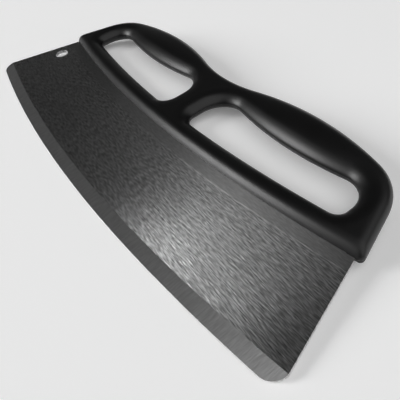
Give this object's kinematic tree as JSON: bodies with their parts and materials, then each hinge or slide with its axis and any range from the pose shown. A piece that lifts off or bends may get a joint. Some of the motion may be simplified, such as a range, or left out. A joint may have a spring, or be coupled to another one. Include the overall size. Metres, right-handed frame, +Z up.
{
  "type": "rocking pizza knife",
  "caption": "Rocking pizza knife: wide curved steel blade with a hanging hole, under a black plastic handle with finger openings.",
  "frame": {"origin": "on the plane under the handle's grips, below the middle of the knife's bounding box, with the blade's sheet level", "axes": "+X along the knife's length, away from the end with the hanging hole; +Y from the cutting edge to the grips; +Z up through the thickness, out of the front face"},
  "size_m": [0.2954, 0.1186, 0.016],
  "materials": {
    "blade_steel": "fine lengthwise brushing, cross-ground bevel along the cutting edge",
    "handle_plastic": "satin black moulded plastic",
    "pin_steel": "plain turned steel"
  },
  "bodies": {
    "root": {"blade": "blade_steel", "front_shell": "handle_plastic", "rear_shell": "handle_plastic", "tang_pins": "pin_steel"}
  },
  "joints": []
}
